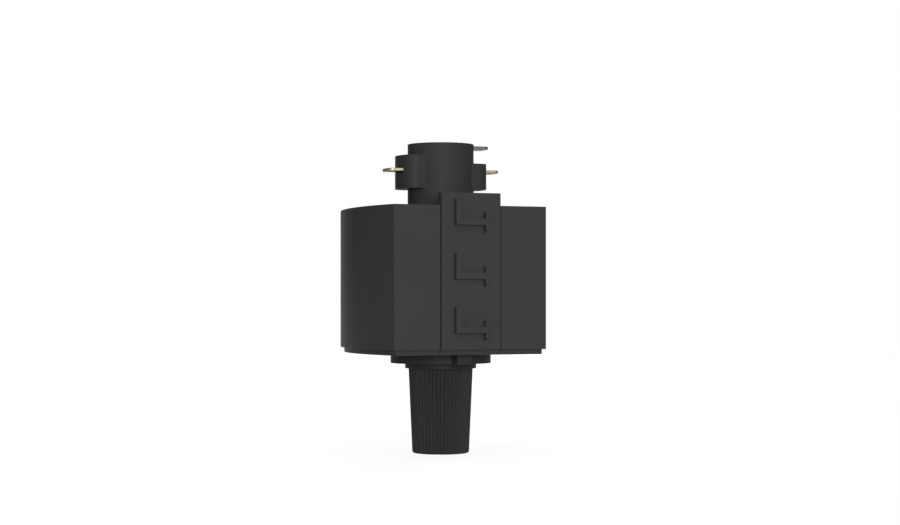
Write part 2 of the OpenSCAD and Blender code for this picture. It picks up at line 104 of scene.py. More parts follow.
# %% Camera
PHOTO_WIDTH = 900
PHOTO_HEIGHT = 525
FOCAL_LENGTH_PX = 1851
LENS_AXIS_X_PX = 443
LENS_AXIS_Y_PX = 298.3
SENSOR_WIDTH_MM = 36
VIEW_AZIMUTH = math.radians(-21.34)
CAMERA_DISTANCE = 421.6 * MM
CAMERA_SIDESTEP = 0.535 * MM
CAMERA_HEIGHT = -20.33 * MM
NEAREST_SEEN = 1 * MM
QUARTER_TURN = math.pi / 2
UP = Vector((0, 0, 1))


def direction(bearing, elevation=0):
    """A unit vector away from the object. Bearing 0 is its front, and a positive one is to the right."""
    level = math.cos(elevation)
    return Vector((math.sin(bearing) * level, -math.cos(bearing) * level, math.sin(elevation)))


def new_object(name, data):
    """A new object at the origin that holds a mesh, a lamp or a camera."""
    made = bpy.data.objects.new(name, data)
    bpy.context.scene.collection.objects.link(made)
    return made


towards_camera = direction(VIEW_AZIMUTH)
to_the_right = direction(VIEW_AZIMUTH + QUARTER_TURN)
camera_data = bpy.data.cameras.new("photo_camera")
camera_data.sensor_width = SENSOR_WIDTH_MM
camera_data.lens = FOCAL_LENGTH_PX / PHOTO_WIDTH * SENSOR_WIDTH_MM
camera_data.shift_x = (PHOTO_WIDTH / 2 - LENS_AXIS_X_PX) / PHOTO_WIDTH
camera_data.shift_y = (LENS_AXIS_Y_PX - PHOTO_HEIGHT / 2) / PHOTO_WIDTH
camera_data.clip_start = NEAREST_SEEN
camera = new_object("photo_camera", camera_data)
camera.location = towards_camera * CAMERA_DISTANCE + to_the_right * CAMERA_SIDESTEP + UP * CAMERA_HEIGHT
camera.rotation_euler = (-towards_camera).to_track_quat("-Z", "Y").to_euler()
bpy.context.scene.camera = camera
print("camera lens in mm:", round(camera_data.lens, 2))
print("camera shift:", round(camera_data.shift_x, 4), round(camera_data.shift_y, 4))

# %% [markdown]
# ## Two small helpers for node trees
# Finishes and repeated shapes are both built as node trees. Real finishes are written as the sRGB hex
# colours that a colour card or a picture gives, while Blender works in linear light, so one function
# converts them. The other adds a node, sets its properties, and either links or fills its inputs.

# %% Colour and node helpers
def linear(code):
    """An sRGB colour such as "#303030" as linear red, green, blue and alpha."""
    shares = [int(code[i:i + 2], 16) / 255 for i in (1, 3, 5)]
    return [s / 12.92 if s <= 0.04045 else ((s + 0.055) / 1.055) ** 2.4 for s in shares] + [1]


def add(tree, kind, inputs=None, **settings):
    """One new node. The inputs are other nodes' outputs, which are linked, or plain values."""
    node = tree.nodes.new(kind)
    for name, value in settings.items():
        setattr(node, name, value)
    for socket, value in (inputs or {}).items():
        if isinstance(value, bpy.types.NodeSocket):
            tree.links.new(value, node.inputs[socket])
        else:
            node.inputs[socket].default_value = value
    return node


print("mid grey #808080 in linear light:", round(linear("#808080")[0], 3))

# %% [markdown]
# ## The studio
# The picture shows the adapter on plain white, darker towards its sides, with a soft light from the
# front. The same is done here as in a studio, with a white surround, a pale floor, two grey cards and two
# soft boxes. The surround is full white to the camera, to reflections and to what is seen through a clear
# part, and dimmer as a light, so the white never bleaches the object.

# %% White surround
SURROUND_LIGHT = 0.56
WHITE = linear("#ffffff")


def seen_directly(tree):
    """1 for rays from the camera, for reflections and for what a clear part shows, and 0 for light."""
    ray = add(tree, "ShaderNodeLightPath").outputs
    mirrored = add(tree, "ShaderNodeMath", {0: ray["Is Camera Ray"], 1: ray["Is Glossy Ray"]},
                   operation="MAXIMUM")
    seen = add(tree, "ShaderNodeMath", {0: mirrored.outputs[0], 1: ray["Is Transmission Ray"]},
               operation="MAXIMUM")
    return seen.outputs[0]


world = bpy.data.worlds.new("white_surround")
bpy.context.scene.world = world
world.use_nodes = True
tree = world.node_tree
tree.nodes.clear()
as_light = add(tree, "ShaderNodeBackground", {"Color": WHITE, "Strength": SURROUND_LIGHT})
as_backdrop = add(tree, "ShaderNodeBackground", {"Color": WHITE, "Strength": 1})
surround = add(tree, "ShaderNodeMixShader",
               {0: seen_directly(tree), 1: as_light.outputs[0], 2: as_backdrop.outputs[0]})
add(tree, "ShaderNodeOutputWorld", {"Surface": surround.outputs[0]})
print("the surround lights with a strength of", SURROUND_LIGHT)

# %% [markdown]
# ### Paper floor
# A sheet of pale paper lies under the gland and takes the object's soft shadow. It is treated as the
# surround is: where it is seen, a glow makes it white, and as a light it is plain paper. Its underside is
# clear, so the part can be seen from below.

# %% Paper floor
FLOOR_SIZE = 6
FLOOR_GLOW = 0.9
SHEET_CORNERS = ((-1, -1), (1, -1), (1, 1), (-1, 1))


def flat_sheet(name, centre, across, up, size, finish):
    """A square sheet for the studio, which is no part of the object."""
    mesh = bpy.data.meshes.new(name)
    corners = [centre + (across * i + up * j) * size / 2 for i, j in SHEET_CORNERS]
    mesh.from_pydata(corners, [], [(0, 1, 2, 3)])
    mesh.materials.append(finish)
    sheet = new_object(name, mesh)
    return sheet


paper = bpy.data.materials.new("white_studio_paper")
paper.use_nodes = True
tree = paper.node_tree
tree.nodes.clear()
matt = add(tree, "ShaderNodeBsdfDiffuse", {"Color": linear("#b4b4b4")})
shaded = add(tree, "ShaderNodeBsdfDiffuse", {"Color": linear("#808080")})
glow = add(tree, "ShaderNodeEmission", {"Strength": FLOOR_GLOW})
glowing = add(tree, "ShaderNodeAddShader", {0: shaded.outputs[0], 1: glow.outputs[0]})
top_side = add(tree, "ShaderNodeMixShader",
               {0: seen_directly(tree), 1: matt.outputs[0], 2: glowing.outputs[0]})
clear = add(tree, "ShaderNodeBsdfTransparent")
underside = add(tree, "ShaderNodeNewGeometry").outputs["Backfacing"]
both_sides = add(tree, "ShaderNodeMixShader", {0: underside, 1: top_side.outputs[0], 2: clear.outputs[0]})
add(tree, "ShaderNodeOutputMaterial", {"Surface": both_sides.outputs[0]})
flat_sheet("floor", UP * cad_low.z, Vector((1, 0, 0)), Vector((0, 1, 0)), FLOOR_SIZE, paper)
print("floor at", round(cad_low.z / MM, 2), "mm")

# %% [markdown]
# ### Grey cards
# Two grey cards stand at the sides, where the camera doesn't see them. They keep the surround from
# lighting the black plastic evenly all round, so its rounded sides darken as they do in the picture.

# %% Cards at the sides
CARD_SIZE = 1.4
CARD_DISTANCE = 0.6
CARD_SPREAD = math.radians(105)
CARD_ROUGHNESS = 0.9

card_paint = bpy.data.materials.new("grey_card")
card_paint.use_nodes = True
painted = card_paint.node_tree.nodes["Principled BSDF"]
painted.inputs["Base Color"].default_value = linear("#4c4c4c")
painted.inputs["Roughness"].default_value = CARD_ROUGHNESS
for side, name in ((-1, "card_left"), (1, "card_right")):
    bearing = VIEW_AZIMUTH + side * CARD_SPREAD
    along = direction(bearing + QUARTER_TURN)
    card = flat_sheet(name, direction(bearing) * CARD_DISTANCE, along, UP, CARD_SIZE, card_paint)
    card.visible_camera = False
print("cards", CARD_DISTANCE, "m away")

# %% [markdown]
# ### Soft boxes
# The front faces are the lightest, the tower darkens evenly to both sides, and even the disc under the
# housing is lit. So the main light stands beside the camera and level with the object. A lamp that is
# large for the object gives the soft edges that its shadows have. A weaker one, behind and to the right,
# shows the form of the black sides that the picture hides. It is left out of reflections, because a lamp
# behind an object glares along its outline. The camera sees neither of them.

# %% Soft boxes
SOFT_BOX_SIZE = 0.3
SOFT_BOX_DISTANCE = 0.75
FRONT_BEARING = math.radians(-13)
FRONT_ELEVATION = math.radians(1)
FRONT_POWER = 3.8
BACK_BEARING = math.radians(142)
BACK_ELEVATION = math.radians(6)
BACK_POWER = 2.6


def soft_box(name, bearing, elevation, power):
    """A square lamp that faces the object."""
    lamp = bpy.data.lights.new(name, "AREA")
    lamp.shape = "SQUARE"
    lamp.size = SOFT_BOX_SIZE
    lamp.energy = power
    stand = new_object(name, lamp)
    towards_lamp = direction(bearing, elevation)
    stand.location = (cad_low + cad_high) / 2 + towards_lamp * SOFT_BOX_DISTANCE
    stand.rotation_euler = (-towards_lamp).to_track_quat("-Z", "Y").to_euler()
    stand.visible_camera = False
    print(name, power, "W at", SOFT_BOX_DISTANCE, "m")
    return stand


soft_box("soft_box_front", FRONT_BEARING, FRONT_ELEVATION, FRONT_POWER)
back_light = soft_box("soft_box_back", BACK_BEARING, BACK_ELEVATION, BACK_POWER)
back_light.visible_glossy = False
bpy.context.scene.view_settings.view_transform = "Standard"

# %% [markdown]
# ## Finishes
# Each finish starts from what the material is and how its surface was made. A moulding takes the fine
# texture of its spark-eroded mould, a rolled strip keeps the lines of the rolls, and plating has a faint
# uneven film. Procedural textures give all of these when they are scaled from real sizes. Object
# coordinates are in metres here, so a pattern whose scale is one over a length repeats about once in that
# length. One function starts a finish, and another ends it: a slow pattern mixes two close colours, and a
# fine one drives roughness and bump. In the plainer finishes one pattern does both.

# %% Start and end a finish
def start_finish(name):
    """A material with its tree, its Principled shader and the coordinates that every pattern uses."""
    material = bpy.data.materials.new(name)
    material.use_nodes = True
    tree = material.node_tree
    place = add(tree, "ShaderNodeTexCoord").outputs["Object"]
    return material, tree, tree.nodes["Principled BSDF"], place


def end_finish(tree, shader, slow, colours, fine, roughness, bump, constants):
    """Links the patterns to the shader. bump is a strength and a depth. constants fill its own sockets."""
    # A Mix node for colours takes them at inputs 6 and 7, and gives the result at output 2
    tone = add(tree, "ShaderNodeMix", {0: slow, 6: linear(colours[0]), 7: linear(colours[1])},
               data_type="RGBA")
    sheen = add(tree, "ShaderNodeMapRange",
                {"Value": fine, "To Min": roughness[0], "To Max": roughness[1]})
    relief = add(tree, "ShaderNodeBump", {"Height": fine, "Strength": bump[0], "Distance": bump[1]})
    tree.links.new(tone.outputs[2], shader.inputs["Base Color"])
    tree.links.new(sheen.outputs[0], shader.inputs["Roughness"])
    tree.links.new(relief.outputs[0], shader.inputs["Normal"])
    for socket, value in constants.items():
        shader.inputs[socket].default_value = value


finishes = {}
print("finishes to make:", sorted(set(slot_of.values())))

# %% [markdown]
# ### Black polycarbonate
# The housing, cover, slide and tower are moulded from black polycarbonate in a spark-eroded mould. The
# eye sees a dark neutral grey with a soft satin sheen, a very fine grain, and faint slow changes of tone
# where the melt flowed. The real grain is near 0.1 mm, too fine to show here, so it is drawn at 0.3 mm.
# The tower is drawn a shade darker than the housing, as painted shade for the light that the housing below
# keeps from it, so one function makes both, each from two close tones of its own.

# %% Black polycarbonate
POLYCARBONATE_GRAIN = 0.3 * MM
POLYCARBONATE_FLOW = 11 * MM


def polycarbonate(name, colours):
    """Black polycarbonate whose tone drifts between two colours."""
    material, tree, shader, place = start_finish(name)
    grain = add(tree, "ShaderNodeTexNoise", {"Vector": place, "Scale": 1 / POLYCARBONATE_GRAIN, "Detail": 3})
    flow = add(tree, "ShaderNodeTexNoise", {"Vector": place, "Scale": 1 / POLYCARBONATE_FLOW, "Detail": 2})
    end_finish(tree, shader, slow=flow.outputs["Fac"], colours=colours, fine=grain.outputs["Fac"],
               roughness=(0.4, 0.56), bump=(0.16, 0.05 * MM),
               constants={"IOR": 1.58, "Specular IOR Level": 0.05})
    print("made", material.name)
    return material


finishes["black_polycarbonate"] = polycarbonate("black_polycarbonate_spark_textured", ("#404040", "#444444"))
# A darker copy of the same polycarbonate: painted shade on the tower.
tower_painted_shade_finish = polycarbonate("black_polycarbonate_tower_batch", ("#3c3c3c", "#404040"))

# %% [markdown]
# ### Black glass-filled nylon
# The swivel, the gland body and the nut carry load, so they are nylon with short glass fibres. It is a
# little blacker than the housing, and the fibres show as short faint streaks along the flow, here along
# the axis. They are about 0.02 mm thick and drawn wider, at 0.12 mm, so that they show at all.

# %% Black glass-filled nylon
FIBRE_WIDTH = 0.12 * MM
FIBRE_LENGTH = 1.2 * MM

material, tree, shader, place = start_finish("black_nylon_glass_filled")
stretched = add(tree, "ShaderNodeMapping",
                {"Vector": place, "Scale": (1 / FIBRE_WIDTH, 1 / FIBRE_WIDTH, 1 / FIBRE_LENGTH)})
fibres = add(tree, "ShaderNodeTexNoise", {"Vector": stretched.outputs[0], "Scale": 1, "Detail": 2})
end_finish(tree, shader, slow=fibres.outputs["Fac"], colours=("#363636", "#3a3a3a"),
           fine=fibres.outputs["Fac"], roughness=(0.42, 0.58), bump=(0.14, 0.04 * MM),
           constants={"IOR": 1.53, "Specular IOR Level": 0.05})
finishes["black_nylon"] = material
print("made", material.name)

# %% [markdown]
# ### Rolled brass
# The live and neutral contacts are stamped from rolled brass strip: pale straw, with fine lines along the
# strip and a slow warm tarnish. A Mapping node stretches the noise into lines, which run outwards on the
# blades. The terminal screws are brass too, and share this finish.

# %% Rolled brass
ROLL_LINE_WIDTH = 0.05 * MM
ROLL_LINE_LENGTH = 6 * MM
TARNISH = 3 * MM

material, tree, shader, place = start_finish("brass_strip_rolled")
stretched = add(tree, "ShaderNodeMapping",
                {"Vector": place, "Scale": (1 / ROLL_LINE_LENGTH, 1 / ROLL_LINE_WIDTH, 1 / ROLL_LINE_WIDTH)})
lines = add(tree, "ShaderNodeTexNoise", {"Vector": stretched.outputs[0], "Scale": 1, "Detail": 2})
tarnish = add(tree, "ShaderNodeTexNoise", {"Vector": place, "Scale": 1 / TARNISH, "Detail": 2})
end_finish(tree, shader, slow=tarnish.outputs["Fac"], colours=("#bfb497", "#b0a280"),
           fine=lines.outputs["Fac"], roughness=(0.4, 0.56), bump=(0.1, 0.02 * MM),
           constants={"Metallic": 1})
finishes["contact_brass"] = material
print("made", material.name)

# %% [markdown]
# ### Tinned strip and zinc-plated steel
# The earth contact is a tinned strip: grey, softer and duller than brass, with a faint cloudy grain instead
# of roll lines. Its grey is drawn darker than tin's, as painted shade for the blade, which stands behind the
# tower from the camera. The other screws, the clamp plates, the friction washer, the ring and the spring are
# steel with a thin zinc plating: a cool grey with a faint bluish film that changes over a few millimetres,
# and a fine crystalline sparkle, drawn at 0.15 mm.

# %% Tin and zinc
TIN_CLOUD = 0.8 * MM
ZINC_FILM = 2.5 * MM
ZINC_CRYSTAL = 0.15 * MM

# The tin's grey is darkened here: painted shade on the earth blade.
material, tree, shader, place = start_finish("tinned_strip_dull")
cloud = add(tree, "ShaderNodeTexNoise", {"Vector": place, "Scale": 1 / TIN_CLOUD, "Detail": 3})
end_finish(tree, shader, slow=cloud.outputs["Fac"], colours=("#706e6b", "#7e7b77"),
           fine=cloud.outputs["Fac"], roughness=(0.38, 0.52), bump=(0.12, 0.02 * MM),
           constants={"Metallic": 1})
finishes["tinned_brass"] = material

material, tree, shader, place = start_finish("steel_zinc_plated")
film = add(tree, "ShaderNodeTexNoise", {"Vector": place, "Scale": 1 / ZINC_FILM, "Detail": 1})
crystals = add(tree, "ShaderNodeTexVoronoi", {"Vector": place, "Scale": 1 / ZINC_CRYSTAL})
end_finish(tree, shader, slow=film.outputs["Fac"], colours=("#b9bdc4", "#c9c8bd"),
           fine=crystals.outputs["Distance"], roughness=(0.28, 0.44), bump=(0.08, 0.02 * MM),
           constants={"Metallic": 1})
finishes["zinc_steel"] = material
print("made", finishes["tinned_brass"].name, "and", finishes["zinc_steel"].name)

# %% [markdown]
# ### Grey thermoset, natural nylon and black rubber
# The terminal block is pressed from a mineral-filled grey thermoset, matt and finely speckled. The claw
# and the thrust washer are unfilled nylon, milky white, with a little light passing into it. The seal and
# the sealing ring are black rubber, the darkest and mattest of all, with a slight bloom.

# %% Thermoset, nylon and rubber
THERMOSET_SPECK = 0.35 * MM
NYLON_HAZE = 4 * MM
NYLON_LIGHT_DEPTH = (0.8 * MM, 0.8 * MM, 0.7 * MM)
RUBBER_BLOOM = 1.5 * MM

material, tree, shader, place = start_finish("grey_thermoset_pressed")
specks = add(tree, "ShaderNodeTexNoise", {"Vector": place, "Scale": 1 / THERMOSET_SPECK, "Detail": 4})
end_finish(tree, shader, slow=specks.outputs["Fac"], colours=("#7e807d", "#9c9e9a"),
           fine=specks.outputs["Fac"], roughness=(0.5, 0.7), bump=(0.15, 0.04 * MM),
           constants={"IOR": 1.55})
finishes["grey_thermoset"] = material

material, tree, shader, place = start_finish("natural_nylon_moulded")
haze = add(tree, "ShaderNodeTexNoise", {"Vector": place, "Scale": 1 / NYLON_HAZE, "Detail": 2})
end_finish(tree, shader, slow=haze.outputs["Fac"], colours=("#dedcd0", "#e8e6de"),
           fine=haze.outputs["Fac"], roughness=(0.34, 0.46), bump=(0.1, 0.05 * MM),
           constants={"IOR": 1.53, "Subsurface Weight": 0.25, "Subsurface Radius": NYLON_LIGHT_DEPTH})
finishes["natural_nylon"] = material

material, tree, shader, place = start_finish("black_rubber_moulded")
bloom = add(tree, "ShaderNodeTexNoise", {"Vector": place, "Scale": 1 / RUBBER_BLOOM, "Detail": 3})
end_finish(tree, shader, slow=bloom.outputs["Fac"], colours=("#1a1a1a", "#262626"),
           fine=bloom.outputs["Fac"], roughness=(0.62, 0.82), bump=(0.1, 0.05 * MM),
           constants={"IOR": 1.52, "Specular IOR Level": 0.3})
finishes["black_rubber"] = material
print("finishes ready:", sorted(finishes))

# %% [markdown]
# ## Moulded and stamped edges
# No real edge is perfectly sharp: a moulding has a radius of about a tenth of a millimetre, and so has a
# stamped strip. The CAD solids have the right form but sharp edges. They could be modelled again by hand,
# but a copy is truer: its loose triangles are merged, flat areas become single faces, and a Bevel
# modifier rounds the edges that are marked. Hardened normals keep the flat faces flat, so only the
# rounded edge catches the light.

# %% Mesh helpers
MERGE_WITHIN = 0.001 * MM
SHARP_FROM = math.radians(30)


def shade(shape):
    """Makes the faces smooth and marks the sharp edges."""
    for edge in shape.edges:
        edge.smooth = edge.calc_face_angle(0) < SHARP_FROM
    for face in shape.faces:
        face.smooth = True


def kept_mesh(shape, name):
    """A mesh with the edited shape, which is then freed."""
    mesh = bpy.data.meshes.new(name)
    shape.to_mesh(mesh)
    shape.free()
    return mesh


def stand_for(piece, node):
    """Shows a finished piece instead of a CAD solid, on the same body and with the same material slot."""
    piece.data.materials.clear()
    piece.data.materials.append(finishes[slot_of[node]])
    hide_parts(node)
    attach(piece, body_of[node])


print("edges are sharp from", round(math.degrees(SHARP_FROM)), "degrees")

# %% [markdown]
# The Bevel modifier reads each edge's weight from 0 to 1 and multiplies its width by it. So one modifier
# gives some edges the full radius, some a share of it, and leaves others sharp.

# %% Rounded copies
FLAT_WITHIN = math.radians(0.4)
BEVEL_SEGMENTS = 2


def rounded_copy(node, radius, chosen=None):
    """A copy of a CAD solid with rounded edges. chosen gives an edge's share of the radius by its middle."""
    name = node + "_finished"
    shape = bmesh.new()
    shape.from_mesh(frame["nodes"][node].data)
    bmesh.ops.remove_doubles(shape, verts=shape.verts, dist=MERGE_WITHIN)
    bmesh.ops.dissolve_limit(shape, angle_limit=FLAT_WITHIN, verts=shape.verts, edges=shape.edges)
    shade(shape)
    weight = shape.edges.layers.float.new("bevel_weight_edge")
    rounded = 0
    for edge in shape.edges:
        if not edge.smooth:
            middle = (edge.verts[0].co + edge.verts[1].co) / 2
            edge[weight] = chosen(middle) if chosen else 1
            rounded += edge[weight] > 0
    piece = new_object(name, kept_mesh(shape, name))
    bevel = piece.modifiers.new("rounded_edges", "BEVEL")
    bevel.limit_method = "WEIGHT"
    bevel.width = radius
    bevel.segments = BEVEL_SEGMENTS
    bevel.harden_normals = True
    stand_for(piece, node)
    print(node, "has", rounded, "rounded edge lines of", round(radius / MM, 2), "mm")
    return piece


# %% [markdown]
# ## Housing, cover, slide and tower
# These are the black mouldings that the picture shows. The housing and the cover are rounded only on the
# outside, at the top, at the rim and round the front opening, because their inside is closed. The slide
# with its three finger grips and the tower with its lugs are rounded all over. Both sides of the gap
# beside the slide have a larger radius, as sliding edges do, which makes the gap a clear dark line.

# %% Black mouldings
GAP_RADIUS = 0.3 * MM
MOULD_SHARE = 0.23
COVER_RADIUS = 0.05 * MM
TOWER_RADIUS = 0.08 * MM
SKIN = 0.05 * MM
GAP_REACH = 0.3 * MM
SLIDE_WIDTH = 14 * MM

housing_low, housing_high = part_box("housing")


def beside_the_gap(middle):
    """True on the upright edges on both sides of the gap between the slide and the housing's front."""
    at_the_front = middle.y < housing_low.y + GAP_REACH
    return at_the_front and abs(abs(middle.x) - SLIDE_WIDTH / 2) < GAP_REACH


def on_housing_skin(middle):
    """The share of the radius on the housing's top, its rim and its flat front and back."""
    on_ends = middle.z > housing_high.z - SKIN or middle.z < housing_low.z + SKIN
    on_flats = middle.y < housing_low.y + SKIN or middle.y > housing_high.y - SKIN
    if beside_the_gap(middle) and not on_ends:
        return 1
    return MOULD_SHARE if on_ends or on_flats else 0


def on_slide(middle):
    """The share of the radius on the slide."""
    return 1 if beside_the_gap(middle) else MOULD_SHARE


def below_the_rim(middle):
    """1 on the part of the cover that shows under the housing, and 0 inside."""
    return 1 if middle.z < housing_low.z + SKIN else 0


rounded_copy("housing", GAP_RADIUS, on_housing_skin)
rounded_copy("bottom_cover", COVER_RADIUS, below_the_rim)
rounded_copy("lock_slide", GAP_RADIUS, on_slide)
tower = rounded_copy("contact_tower", TOWER_RADIUS)
# The tower takes the darker copy of the polycarbonate, which is painted shade.
tower.data.materials[0] = tower_painted_shade_finish

# %% [markdown]
# ## Contacts and terminals
# The three strips are stamped and bent, so their blades have slightly rounded edges all round. The
# terminal block, its clamp plates, the washers and the ring sit inside and get the same treatment with
# smaller radii.

# %% Strips, block and small rings
BLADE_START = 8 * MM
BLADE_RADIUS = 0.13 * MM
BLOCK_RADIUS = 0.08 * MM
RING_RADIUS = 0.06 * MM


def on_a_blade(middle):
    """1 on the blades, which stand out of the tower, and 0 on the strips below them."""
    return 1 if middle.z > BLADE_START else 0


for strip in ("neutral_contact", "live_contact", "earth_contact"):
    rounded_copy(strip, BLADE_RADIUS, on_a_blade)
for block in ("terminal_block", "clamp_plates"):
    rounded_copy(block, BLOCK_RADIUS)
for ring in ("friction_washer", "thrust_washer", "retaining_ring"):
    rounded_copy(ring, RING_RADIUS)

# %% [markdown]
# ## Swivel and claw
# The swivel disc turns under the cover with its index tab, and the nylon claw and the rubber seal sit
# inside the gland nut. The sealing ring is round already, so its CAD solid stays and only gets its
# rubber.

# %% Swivel, claw and seals
DISC_RADIUS = 0.06 * MM
CLAW_RADIUS = 0.05 * MM
SEAL_RADIUS = 0.15 * MM

rounded_copy("swivel_disc", DISC_RADIUS)
rounded_copy("grip_claw", CLAW_RADIUS)
rounded_copy("gland_seal", SEAL_RADIUS)
sealing_ring = frame["nodes"]["gland_o_ring"]
sealing_ring.data.materials.clear()
sealing_ring.data.materials.append(finishes["black_rubber"])
print("gland_o_ring keeps its CAD form")

# %% [markdown]
# ## Turned pieces with grooves
# The gland nut's ribs and the threads of the gland body and the screws are all grooves on a turned shape:
# 48 straight ones on the nut, and one winding one on a thread. They could be cut by booleans, but one
# rule does it better: a turned mesh is made with enough points, each with a groove zone from 0 to 1, and
# a Geometry Nodes tree sinks the points in the zone. The turning comes first. It revolves a profile round
# the axis.

# %% Turned shapes
GROOVE_ZONE = "groove_zone"
EDGE_STEPS = 4


def rounded_edge(radius, foot, edge, zone=0):
    """Profile points round a lower outer edge, along which the groove zone fades out."""
    points = []
    for step in range(EDGE_STEPS + 1):
        turn = QUARTER_TURN * step / EDGE_STEPS
        points.append((radius - edge * (1 - math.cos(turn)),
                       foot + edge * (1 - math.sin(turn)),
                       zone * (1 - step / EDGE_STEPS)))
    return points


def turned(name, profile, segments, closed=True):
    """Revolves a profile of (radius, height, groove zone) points round the Z axis."""
    shape = bmesh.new()
    zone = shape.verts.layers.float.new(GROOVE_ZONE)
    rings = []
    for radius, height, grooved in profile:
        ring = []
        for i in range(segments):
            turn = math.tau * i / segments
            vertex = shape.verts.new((radius * math.cos(turn), radius * math.sin(turn), height))
            vertex[zone] = grooved
            ring.append(vertex)
        rings.append(ring)
    following_rings = rings[1:] + rings[:1] if closed else rings[1:]
    for ring, following in zip(rings, following_rings):
        for i in range(segments):
            j = (i + 1) % segments
            shape.faces.new((ring[i], ring[j], following[j], following[i]))
    bmesh.ops.remove_doubles(shape, verts=shape.verts, dist=MERGE_WITHIN)
    bmesh.ops.recalc_face_normals(shape, faces=shape.faces)
    shade(shape)
    return new_object(name, kept_mesh(shape, name))


print("a rounded edge is turned in", EDGE_STEPS, "steps")

# %% [markdown]
# ### Making and running a tree
# A Geometry Nodes tree is a recipe with named inputs. A modifier runs it on a piece, and its inputs are
# set by the identifiers that Blender gives them, before the piece is first evaluated. The result is then
# kept as a plain mesh, because the export and the moving bodies need one.

# %% Tree helpers
def new_shape_tree(name, numbers, others=()):
    """A Geometry Nodes tree with named inputs, and a table of their identifiers."""
    made = bpy.data.node_groups.new(name, "GeometryNodeTree")
    made.interface.new_socket("Geometry", in_out="INPUT", socket_type="NodeSocketGeometry")
    made.interface.new_socket("Geometry", in_out="OUTPUT", socket_type="NodeSocketGeometry")
    names = {}
    for label, kind in [(number, "NodeSocketFloat") for number in numbers] + list(others):
        names[label] = made.interface.new_socket(label, in_out="INPUT", socket_type=kind).identifier
    print("tree", name, "has inputs", sorted(names))
    return made, names


def made_plain(piece, tree, names, values):
    """Runs a Geometry Nodes tree on a piece and keeps the result as a plain mesh."""
    modifier = piece.modifiers.new(tree.name, "NODES")
    modifier.node_group = tree
    for name, value in values.items():
        modifier[names[name]] = value
    bpy.context.view_layer.update()
    graph = bpy.context.evaluated_depsgraph_get()
    mesh = bpy.data.meshes.new_from_object(piece.evaluated_get(graph))
    mesh.name = piece.name
    piece.modifiers.remove(modifier)
    piece.data = mesh
    print(piece.name, "has", len(mesh.polygons), "faces")


# %% [markdown]
# ### The groove tree
# The tree sinks each point towards the axis by a wave that runs round the axis and, for a thread, also
# along it. Where the wave is lower than the land, the surface stays whole, so a lower land makes wider
# grooves.

# %% Groove tree
groove_tree, groove_names = new_shape_tree(
    "Grooved_turning", ("Count", "Twist", "Depth", "Land"), [("Finish", "NodeSocketMaterial")])
given = add(groove_tree, "NodeGroupInput").outputs
place = add(groove_tree, "GeometryNodeInputPosition").outputs[0]
axes = add(groove_tree, "ShaderNodeSeparateXYZ", {0: place}).outputs
angle = add(groove_tree, "ShaderNodeMath", {0: axes["Y"], 1: axes["X"]}, operation="ARCTAN2")
around = add(groove_tree, "ShaderNodeMath", {0: angle.outputs[0], 1: given["Count"]}, operation="MULTIPLY")
phase = add(groove_tree, "ShaderNodeMath", {0: axes["Z"], 1: given["Twist"], 2: around.outputs[0]},
            operation="MULTIPLY_ADD")
wave = add(groove_tree, "ShaderNodeMath", {0: phase.outputs[0]}, operation="COSINE")
sunk = add(groove_tree, "ShaderNodeMapRange",
           {"Value": wave.outputs[0], "From Min": given["Land"], "From Max": 1,
            "To Min": 0, "To Max": given["Depth"]},
           interpolation_type="SMOOTHSTEP")
zone = add(groove_tree, "GeometryNodeInputNamedAttribute", {"Name": GROOVE_ZONE}, data_type="FLOAT")
inwards = add(groove_tree, "ShaderNodeMath", {0: sunk.outputs[0], 1: zone.outputs[0]}, operation="MULTIPLY")
flat_place = add(groove_tree, "ShaderNodeCombineXYZ", {"X": axes["X"], "Y": axes["Y"]})
radial = add(groove_tree, "ShaderNodeVectorMath", {0: flat_place.outputs[0]}, operation="NORMALIZE")
turned_in = add(groove_tree, "ShaderNodeMath", {0: inwards.outputs[0], 1: -1}, operation="MULTIPLY")
step_in = add(groove_tree, "ShaderNodeVectorMath", {0: radial.outputs[0], "Scale": turned_in.outputs[0]},
              operation="SCALE")
cut = add(groove_tree, "GeometryNodeSetPosition",
          {"Geometry": given["Geometry"], "Offset": step_in.outputs[0]})
realized = add(groove_tree, "GeometryNodeRealizeInstances", {0: cut.outputs[0]})
finished = add(groove_tree, "GeometryNodeSetMaterial",
               {"Geometry": realized.outputs[0], "Material": given["Finish"]})
add(groove_tree, "NodeGroupOutput", {0: finished.outputs[0]})


def cut_grooves(piece, count, pitch, depth, land, finish):
    """Cuts straight grooves, or winding ones that rise by the pitch in each turn, into a turned piece."""
    twist = -math.tau / pitch if pitch else 0.0
    made_plain(piece, groove_tree, groove_names,
               {"Count": float(count), "Twist": twist, "Depth": depth, "Land": land, "Finish": finish})


# %% [markdown]
# ## Gland nut
# The nut is gripped by hand, so 48 ribs run down its tapered side, and its lower edge is rounded. The
# grooves are a little narrower than the ribs and fade out into the rounded edge. Inside are the bore,
# whose thread is left plain because nothing shows it, the cone that squeezes the claw, and the cord hole.

# %% Ribbed gland nut
NUT_RIBS = 48
NUT_TURN_STEPS = 8
NUT_RIB_DEPTH = 0.42 * MM
NUT_LAND = -0.5
NUT_TOP_ZONE = 0.6
NUT_EDGE_ZONE = 0.8
NUT_END_RADIUS = 6.47 * MM
NUT_EDGE_RADIUS = 0.45 * MM
NUT_TAPER_GAIN = 0.02 * MM
NUT_TOP_CHAMFER = 0.15 * MM
NUT_BORE = 5.35 * MM
NUT_BORE_CHAMFER = 0.2 * MM
NUT_NECK_LENGTH = 5.4 * MM
CONE_HEIGHT = 5 * MM
CONE_DROP = 0.6 * MM
CORD_RADIUS = 3.4 * MM
CORD_CHAMFER = 0.3 * MM

